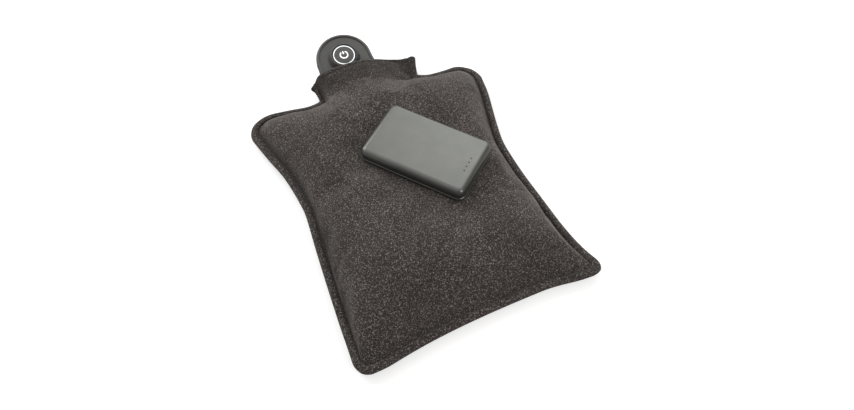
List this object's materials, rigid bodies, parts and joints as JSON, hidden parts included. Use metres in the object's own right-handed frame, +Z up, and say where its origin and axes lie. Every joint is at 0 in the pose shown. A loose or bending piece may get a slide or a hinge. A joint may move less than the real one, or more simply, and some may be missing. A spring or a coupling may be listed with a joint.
{
  "type": "electric hot water bottle",
  "caption": "Cloth-covered electric hot water bottle with a lit button controller in its neck, a wire heater and padding inside, a zip on its back and its power bank lying on it.",
  "frame": {"origin": "middle of the footprint, on the surface that the bottle lies on", "axes": "+X across the bottle, +Y from the foot to the neck, +Z up out of the front"},
  "size_m": [0.2571, 0.3713, 0.0513],
  "materials": {
    "felt_cloth": "matt",
    "wadding": "matt",
    "lining_cloth": "matt",
    "zip_tape_cloth": "matt",
    "zip_metal": "satin",
    "heater_film": "satin",
    "wire_alloy": "satin",
    "lead_rubber": "matt",
    "plug_metal": "satin",
    "controller_plastic": "satin",
    "light_guide": "satin",
    "circuit_board": "satin",
    "chip_black": "matt",
    "led_white": "gloss",
    "screw_steel": "satin",
    "bank_plastic": "satin",
    "cell_foil": "satin",
    "tongue_plastic": "matt"
  },
  "bodies": {
    "bottle": {"battery_pocket": "lining_cloth", "button_switch": "chip_black", "controller_back_shell": "controller_plastic", "controller_board": "circuit_board", "controller_capacitor": "chip_black", "controller_front_shell": "controller_plastic", "controller_processor": "chip_black", "controller_screw_1": "screw_steel", "controller_screw_2": "screw_steel", "controller_screw_3": "screw_steel", "controller_screw_4": "screw_steel", "cover_back_lower": "felt_cloth", "cover_back_upper": "felt_cloth", "cover_front": "felt_cloth", "heater_carrier": "heater_film", "heater_lead": "lead_rubber", "heater_lead_grommet": "lead_rubber", "heater_switch_chip": "chip_black", "heater_terminal": "chip_black", "heating_wire": "wire_alloy", "pad_back": "wadding", "pad_front": "wadding", "ring_led_1": "led_white", "ring_led_2": "led_white", "ring_led_3": "led_white", "ring_led_4": "led_white", "supply_lead": "lead_rubber", "supply_lead_grommet": "lead_rubber", "temperature_sensor": "chip_black", "usb_plug_overmould": "lead_rubber", "usb_plug_shell": "plug_metal", "zip_chain_lower": "zip_tape_cloth", "zip_chain_upper": "zip_tape_cloth"},
    "power_button": {"power_button": "controller_plastic", "ring_light_guide": "light_guide", "symbol_arc_guide": "light_guide", "symbol_bar_guide": "light_guide", "switch_stem": "tongue_plastic"},
    "power_bank": {"bank_board": "circuit_board", "bank_bottom_shell": "bank_plastic", "bank_button_switch": "chip_black", "bank_cell": "cell_foil", "bank_led_1": "led_white", "bank_led_2": "led_white", "bank_led_3": "led_white", "bank_led_4": "led_white", "bank_light_guide": "light_guide", "bank_top_shell": "bank_plastic", "bank_usb_a_socket": "plug_metal", "bank_usb_a_tongue": "tongue_plastic", "bank_usb_c_socket": "plug_metal", "bank_usb_c_tongue": "tongue_plastic", "boost_coil": "chip_black", "charge_chip": "chip_black"},
    "bank_button": {"bank_button": "bank_plastic"},
    "zip_slider": {"zip_slider": "zip_metal"},
    "zip_pull": {"zip_pull": "zip_metal"}
  },
  "joints": [
    {"name": "power_button_press", "type": "slide", "parent": "bottle", "child": "power_button", "axis": [0, 0.2233, -0.9748], "range_m": [0, 0.0006], "stiffness_N_per_m": 400, "springref_m": -0.0005},
    {"name": "power_bank_lift", "type": "slide", "parent": "bottle", "child": "power_bank", "axis": [0, 0, 1], "range_m": [0, 0.12]},
    {"name": "bank_button_press", "type": "slide", "parent": "power_bank", "child": "bank_button", "axis": [-0.7738, -0.6334, 0], "range_m": [0, 0.0005], "stiffness_N_per_m": 300, "springref_m": -0.0005},
    {"name": "zip_slide", "type": "slide", "parent": "bottle", "child": "zip_slider", "axis": [1, 0, 0], "range_m": [0, 0.1181]},
    {"name": "zip_pull_hinge", "type": "hinge", "parent": "zip_slider", "child": "zip_pull", "pos_m": [-0.05905, -0.10097, 0.00335], "axis": [0, 1, 0], "range_deg": [0, 165]}
  ]
}
